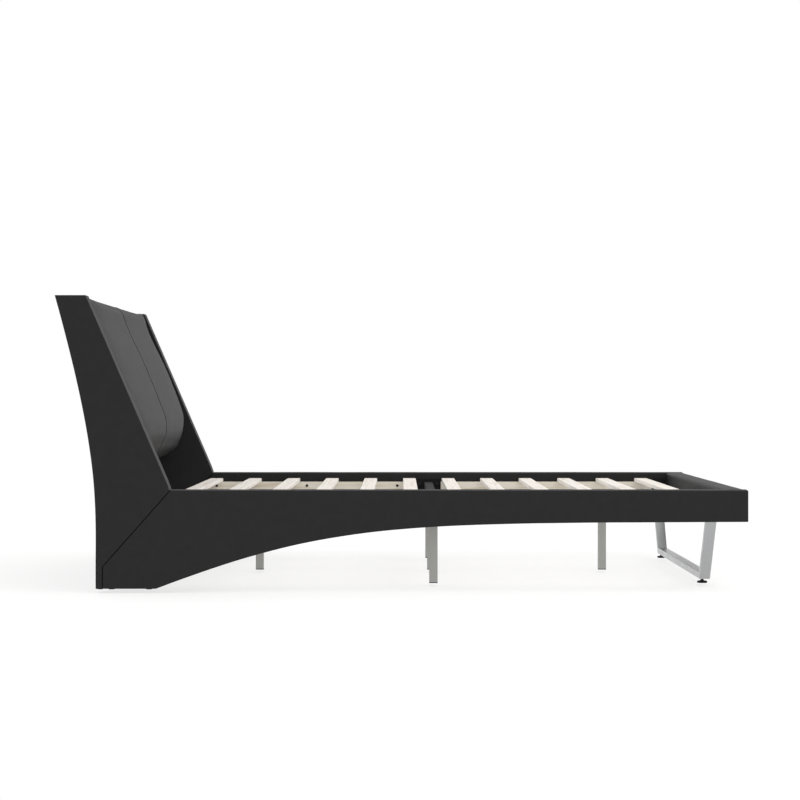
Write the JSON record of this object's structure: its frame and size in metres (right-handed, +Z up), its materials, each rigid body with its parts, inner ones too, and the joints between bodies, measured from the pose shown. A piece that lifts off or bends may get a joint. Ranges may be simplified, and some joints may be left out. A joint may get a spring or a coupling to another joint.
{
  "type": "sleigh bed",
  "caption": "Low upholstered platform bed with a leaning padded headboard between flat wings, arched side rails, slats on ledges, support legs and a trapezoid sled leg at the foot.",
  "frame": {"origin": "centre of the bed's plan, on the floor plane", "axes": "+X from the headboard to the foot end, +Y to the left seen from the headboard, +Z up"},
  "size_m": [2.4038, 1.68, 1.023],
  "materials": {
    "leatherette": "satin",
    "frame_timber": "matte",
    "ledge_pine": "matte",
    "slat_wood": "matte",
    "plywood": "matte",
    "back_panel": "matte",
    "black_steel": "satin",
    "leg_steel": "satin",
    "sled_steel": "satin",
    "zinc_steel": "satin",
    "black_screws": "satin",
    "black_plastic": "matte"
  },
  "bodies": {
    "bed": {"beam_hangers": "black_steel", "centre_beam_foot": "black_steel", "centre_beam_head": "black_steel", "corner_brackets": "black_steel", "cross_beam": "black_steel", "cross_beam_brackets": "black_steel", "floor_glides": "black_plastic", "foot_nuts": "zinc_steel", "foot_rail_core": "frame_timber", "foot_rail_cover": "leatherette", "frame_bolts": "black_screws", "headboard_back": "back_panel", "headboard_board": "plywood", "headboard_lower_board": "plywood", "headboard_lower_cover": "leatherette", "headboard_pad": "leatherette", "headboard_rib_centre": "frame_timber", "headboard_rib_left": "frame_timber", "headboard_rib_right": "frame_timber", "ledge_left_foot": "ledge_pine", "ledge_left_head": "ledge_pine", "ledge_right_foot": "ledge_pine", "ledge_right_head": "ledge_pine", "ledge_screws": "black_screws", "leg_bolts": "zinc_steel", "leg_end_caps": "black_plastic", "side_rail_left_core": "frame_timber", "side_rail_left_cover": "leatherette", "side_rail_right_core": "frame_timber", "side_rail_right_cover": "leatherette", "slat_01": "slat_wood", "slat_02": "slat_wood", "slat_03": "slat_wood", "slat_04": "slat_wood", "slat_05": "slat_wood", "slat_06": "slat_wood", "slat_07": "slat_wood", "slat_08": "slat_wood", "slat_09": "slat_wood", "slat_10": "slat_wood", "slat_11": "slat_wood", "slat_12": "slat_wood", "sled_leg_frame": "sled_steel", "sled_mount_left": "black_steel", "sled_mount_right": "black_steel", "support_leg_centre": "leg_steel", "support_leg_foot": "leg_steel", "support_leg_head": "leg_steel", "support_leg_left": "leg_steel", "support_leg_right": "leg_steel", "wing_joint_plates": "black_steel", "wing_left_core": "frame_timber", "wing_left_cover": "leatherette", "wing_right_core": "frame_timber", "wing_right_cover": "leatherette"},
    "level_pad_left": {"foot_pad_left": "black_plastic"},
    "level_stud_left": {"foot_stud_left": "zinc_steel"},
    "level_pad_right": {"foot_pad_right": "black_plastic"},
    "level_stud_right": {"foot_stud_right": "zinc_steel"}
  },
  "joints": [
    {"name": "level_left_travel", "type": "slide", "parent": "bed", "child": "level_pad_left", "axis": [0, 0, -1], "range_m": [0, 0.01]},
    {"name": "level_left_turn", "type": "hinge", "parent": "level_pad_left", "child": "level_stud_left", "pos_m": [1.084, 0.56, 0.02], "axis": [0, 0, -1], "range_deg": [0, 2881]},
    {"name": "level_right_travel", "type": "slide", "parent": "bed", "child": "level_pad_right", "axis": [0, 0, -1], "range_m": [0, 0.01]},
    {"name": "level_right_turn", "type": "hinge", "parent": "level_pad_right", "child": "level_stud_right", "pos_m": [1.084, -0.56, 0.02], "axis": [0, 0, -1], "range_deg": [0, 2881]}
  ],
  "couplings": [
    {"joint": "level_left_turn", "follows": "level_left_travel", "rad_per_m": 5026.5},
    {"joint": "level_right_turn", "follows": "level_right_travel", "rad_per_m": 5026.5}
  ]
}
